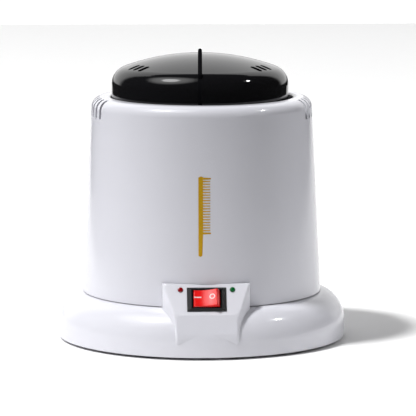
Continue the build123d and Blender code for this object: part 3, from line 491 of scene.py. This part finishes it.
def oval(x, y, half_w, half_h, count):
    """Points on an ellipse."""
    angles = [2 * math.pi * k / count for k in range(count)]
    return [(x + half_w * math.cos(a), y + half_h * math.sin(a)) for a in angles]


def emblem_shapes():
    """Plain upright comb as a salon sign: a spine with its handle, and the teeth."""
    spine = [(-2.9, -20.4), (-1.7, -20.9), (-0.9, -20.3), (-0.5, -9.4), (-0.5, 20.6), (-1.5, 21.0),
             (-2.9, 20.4)]
    shapes = [(spine, None, 0)]
    for k in range(21):
        y = -8.6 + 1.42 * k
        reach = 3.6 if k in (0, 20) else 3.3
        half = 0.55 if k in (0, 20) else 0.34
        shapes.append(([(-0.6, y - half), (reach, y - half * 0.6), (reach, y + half * 0.6), (-0.6, y + half)],
                       None, 1))
    return shapes


EMBLEM_AT = (-1.2, 76.7)          # across and up, on the body's front
EMBLEM_SCALE = 1.05


def on_body(u, v, height):
    """Point on the tapered body's front."""
    z = EMBLEM_AT[1] + v * EMBLEM_SCALE
    share = (z - SHELL_FOOT[1]) / (SHELL_TOP[1] - SHELL_FOOT[1])
    surface = SHELL_FOOT[0] + (SHELL_TOP[0] - SHELL_FOOT[0]) * share
    angle = (EMBLEM_AT[0] + u * EMBLEM_SCALE) / surface
    radius = surface + height
    return Vector((radius * math.sin(angle), -radius * math.cos(angle), z))


ROCKER = (Matrix.Translation(FACE_MID)
          @ Matrix([(1, 0, 0, 0), (0, FACE_UP.y, FACE_OUT.y, 0), (0, FACE_UP.z, FACE_OUT.z, 0), (0, 0, 0, 1)])
          @ Matrix.Translation((0, 0, -PIVOT_DEPTH)) @ Matrix.Rotation(math.radians(-ROCKER_TILT), 4, "Y"))


def on_rocker(u, v, height):
    """Point on the rocker's hollowed top."""
    rise = ROCKER_LIFT + HOLLOW_R - math.sqrt(HOLLOW_R ** 2 - u ** 2)
    return ROCKER @ Vector((u, v, rise + height))


emblem = print_piece("emblem_print", emblem_shapes(), gold_ink, on_body, 1.5, 0.03)
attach(emblem, "pot")

bar = [(-6.2, 0.3), (-2.4, 0.3), (-2.4, 0.95), (-6.2, 0.95)]
marks = [(bar, None, 0), (oval(3.7, 0.6, 1.6, 1.6, 32), oval(3.7, 0.6, 1.0, 1.0, 32), 0)]
legend = print_piece("rocker_marks", marks, white_ink, on_rocker, 0.5, 0.03)
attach(legend, "rocker")


# ---- floor, light and camera ---------------------------------------------------------------------
def floor_sheet():
    """Pale studio sheet with a faint paper tooth; it ends a little in front of the pot."""
    s = Shader("studio_sheet", IOR=1.3, Specular_IOR_Level=0.1)
    s.set(Base_Color=s.mix(s.noise(60.0, 3.0), (0.94, 0.94, 0.94), (0.96, 0.96, 0.96)), Roughness=0.8)
    s.bump(s.noise(900.0, 3.0), 0.01)
    mesh = bmesh.new()
    corners = [(-0.42, -0.32), (0.7, -0.32), (0.7, 2.2), (-0.42, 2.2)]
    mesh.faces.new([mesh.verts.new((x, y, 0)) for x, y in corners])
    return as_object(mesh, "studio_floor", s.mat)


SOFTBOX_WAY = (-0.457, -0.203, 0.866)   # from the pot: up, to the left and slightly forward


def studio_world():
    """White for the camera, a soft room for diffuse light; gloss sees a wall and a softbox."""
    world = bpy.data.worlds.new("studio")
    world.use_nodes = True
    tree = world.node_tree
    tree.nodes.clear()

    def math_node(operation, *values):
        made = tree.nodes.new("ShaderNodeMath")
        made.operation = operation
        for socket, value in zip(made.inputs, values):
            if isinstance(value, bpy.types.NodeSocket):
                tree.links.new(value, socket)
            else:
                socket.default_value = value
        return made.outputs[0]

    def step(value, low, high):
        made = tree.nodes.new("ShaderNodeMapRange")
        made.interpolation_type = "SMOOTHSTEP"
        tree.links.new(value, made.inputs["Value"])
        made.inputs["From Min"].default_value = low
        made.inputs["From Max"].default_value = high
        return made.outputs[0]

    place = tree.nodes.new("ShaderNodeTexCoord").outputs["Generated"]
    parts = tree.nodes.new("ShaderNodeSeparateXYZ")
    tree.links.new(place, parts.inputs[0])
    x, y, z = parts.outputs
    height = math_node("MULTIPLY", step(z, -0.02, 0.03), math_node("SUBTRACT", 1.0, step(z, 0.78, 0.82)))
    wall = math_node("MULTIPLY", height, step(y, -0.4, 0.1))
    left = math_node("MULTIPLY", step(math_node("MULTIPLY", x, -1.0), 0.2, 0.9), -0.3)
    right = math_node("MULTIPLY", step(x, 0.2, 0.9), -0.8)
    level = math_node("ADD", 1.3, math_node("ADD", left, right))
    room = math_node("ADD", math_node("MULTIPLY", wall, level), 0.03)
    flat = math_node("SQRT", math_node("SUBTRACT", 1.001, math_node("MULTIPLY", z, z)))
    behind = math_node("MULTIPLY", height, step(math_node("DIVIDE", y, flat), 0.55, 0.72))
    toward = tree.nodes.new("ShaderNodeVectorMath")
    toward.operation = "DOT_PRODUCT"
    tree.links.new(place, toward.inputs[0])
    toward.inputs[1].default_value = SOFTBOX_WAY
    halo = math_node("MULTIPLY", step(toward.outputs["Value"], 0.88, 0.985), 3.2)
    core = math_node("MULTIPLY", step(toward.outputs["Value"], 0.984, 0.993), 9.0)
    box = math_node("ADD", halo, core)
    mirrored = math_node("ADD", math_node("MULTIPLY", behind, 1.35), math_node("ADD", box, 0.03))
    rays = tree.nodes.new("ShaderNodeLightPath")

    def choose(share, one, two):
        made = tree.nodes.new("ShaderNodeMix")
        for socket, value in zip(made.inputs[:1] + made.inputs[2:4], (share, one, two)):
            if isinstance(value, bpy.types.NodeSocket):
                tree.links.new(value, socket)
            else:
                socket.default_value = value
        return made.outputs[0]

    seen = choose(rays.outputs["Is Camera Ray"], choose(rays.outputs["Is Glossy Ray"], room, mirrored), 1.35)
    backdrop = tree.nodes.new("ShaderNodeBackground")
    tree.links.new(seen, backdrop.inputs["Strength"])
    tree.links.new(backdrop.outputs[0], tree.nodes.new("ShaderNodeOutputWorld").inputs[0])
    bpy.context.scene.world = world


def soft_light(name, azimuth, elevation, distance, size, power, aim, mirrored=True):
    """Round studio light; azimuth runs from -Y towards +X, both in degrees."""
    data = bpy.data.lights.new(name, "AREA")
    data.shape = "DISK"
    data.size = size
    data.energy = power
    lamp_object = bpy.data.objects.new(name, data)
    a, e = math.radians(azimuth), math.radians(elevation)
    way = Vector((math.sin(a) * math.cos(e), -math.cos(a) * math.cos(e), math.sin(e)))
    lamp_object.location = aim + way * distance
    lamp_object.rotation_euler = way.to_track_quat("Z", "Y").to_euler()
    lamp_object.visible_glossy = mirrored
    bpy.context.scene.collection.objects.link(lamp_object)


def photo_camera():
    """Camera at the photograph's angle: 1.8 m away, a little above, slightly round to the left."""
    data = bpy.data.cameras.new("photo_camera")
    data.sensor_width = 36.0
    data.lens = 278.3
    data.clip_end = 20.0
    camera = bpy.data.objects.new("photo_camera", data)
    camera.location = (-0.0691, -1.7987, 0.3211)
    target = Vector((0.0036, 0.0, 0.0726))
    camera.rotation_euler = (target - camera.location).to_track_quat("-Z", "Y").to_euler()
    bpy.context.scene.collection.objects.link(camera)
    bpy.context.scene.camera = camera


floor_sheet()
studio_world()
middle = Vector((0, 0, 0.08))
soft_light("key_light", -66.0, 62.0, 6.0, 0.8, 360.0, middle, mirrored=False)
soft_light("right_light", 82.0, 45.0, 6.0, 0.5, 45.0, middle)
photo_camera()
bpy.context.scene.view_settings.view_transform = "Standard"
